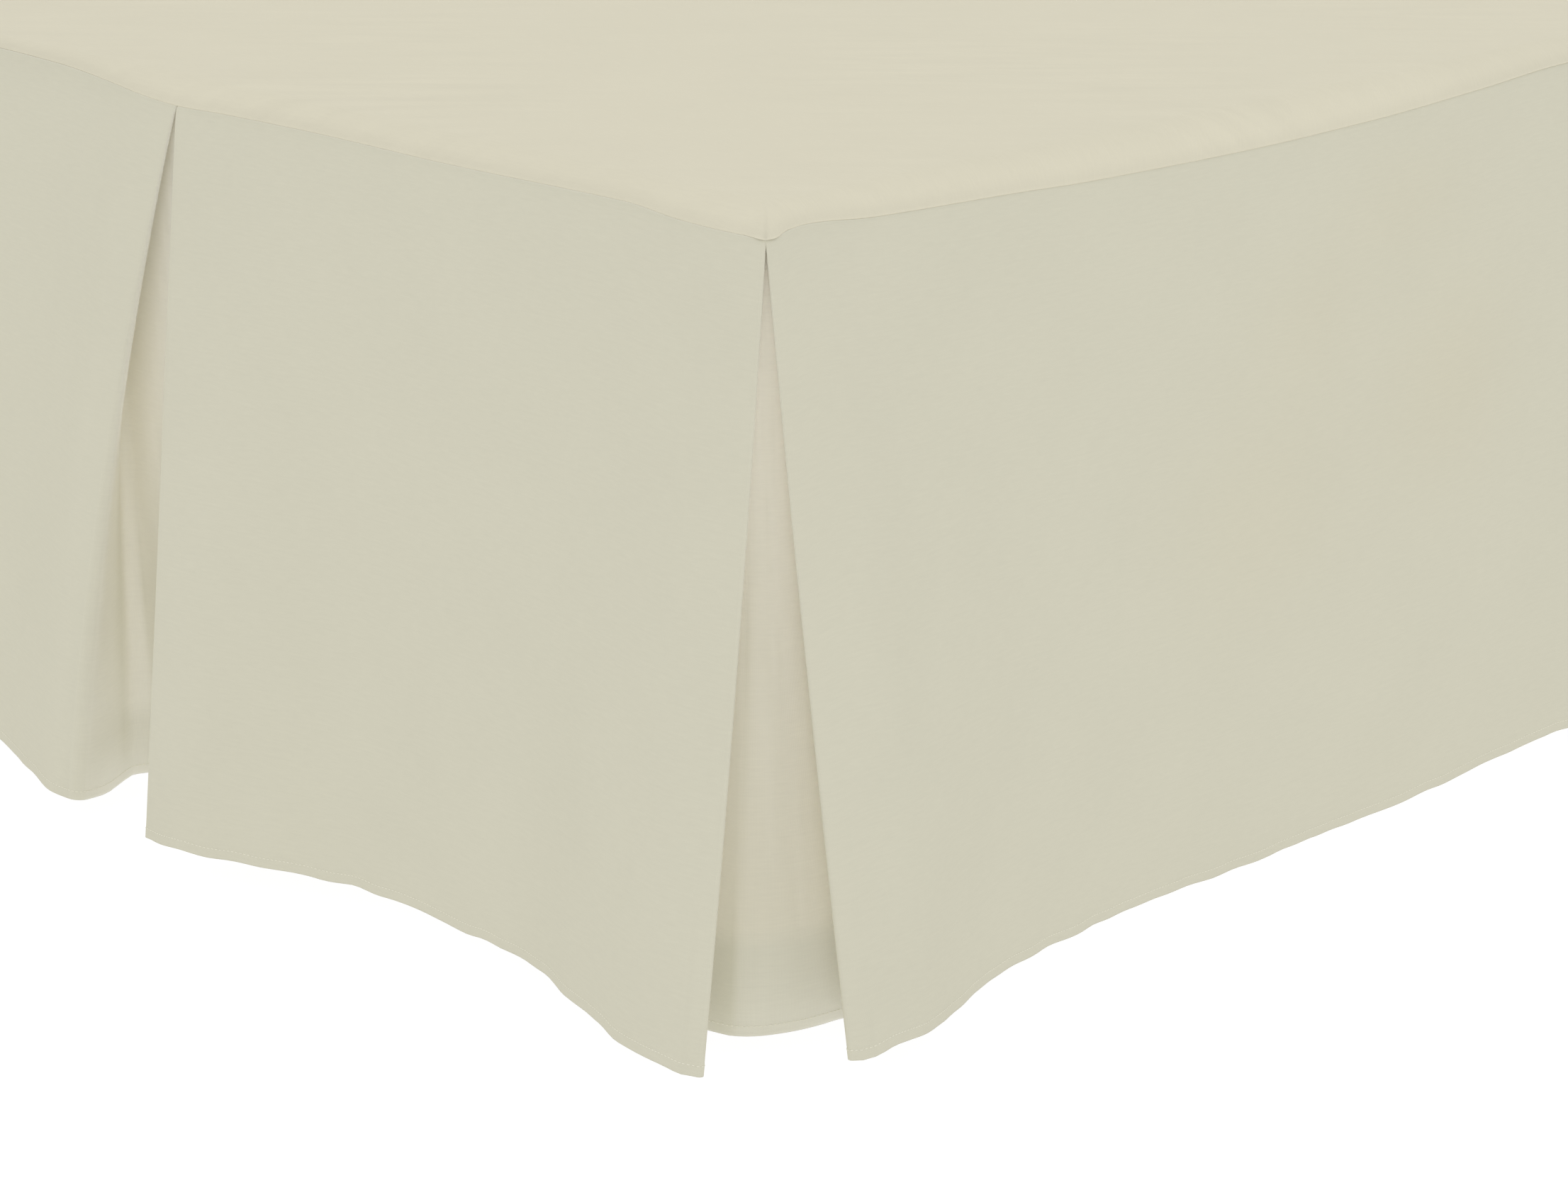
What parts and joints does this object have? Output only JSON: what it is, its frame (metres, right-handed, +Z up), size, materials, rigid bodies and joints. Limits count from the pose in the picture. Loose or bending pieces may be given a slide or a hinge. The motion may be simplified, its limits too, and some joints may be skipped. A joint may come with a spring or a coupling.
{
  "type": "bed skirt on a bed base",
  "caption": "Plain cloth bed skirt with a flat platform and a pleated drop on three sides, fitted over a plain low bed base.",
  "frame": {"origin": "on the floor, under the middle of the whole object's box", "axes": "+Z up, +Y along the bed towards the head end, which has no skirt, +X to the right when looking along +Y"},
  "size_m": [1.0469, 1.9853, 0.4255],
  "materials": {
    "cloth": "matt plain-woven cotton blend with a fine horizontal slub, warm ivory",
    "base_cover": "plain woven cover stretched over a box",
    "leg_plastic": "moulded, slightly rough"
  },
  "bodies": {
    "root": {"platform": "cloth", "pleated_skirt": "cloth", "bed_base": "base_cover", "base_foot_1": "leg_plastic", "base_foot_2": "leg_plastic", "base_foot_3": "leg_plastic", "base_foot_4": "leg_plastic"}
  },
  "joints": []
}
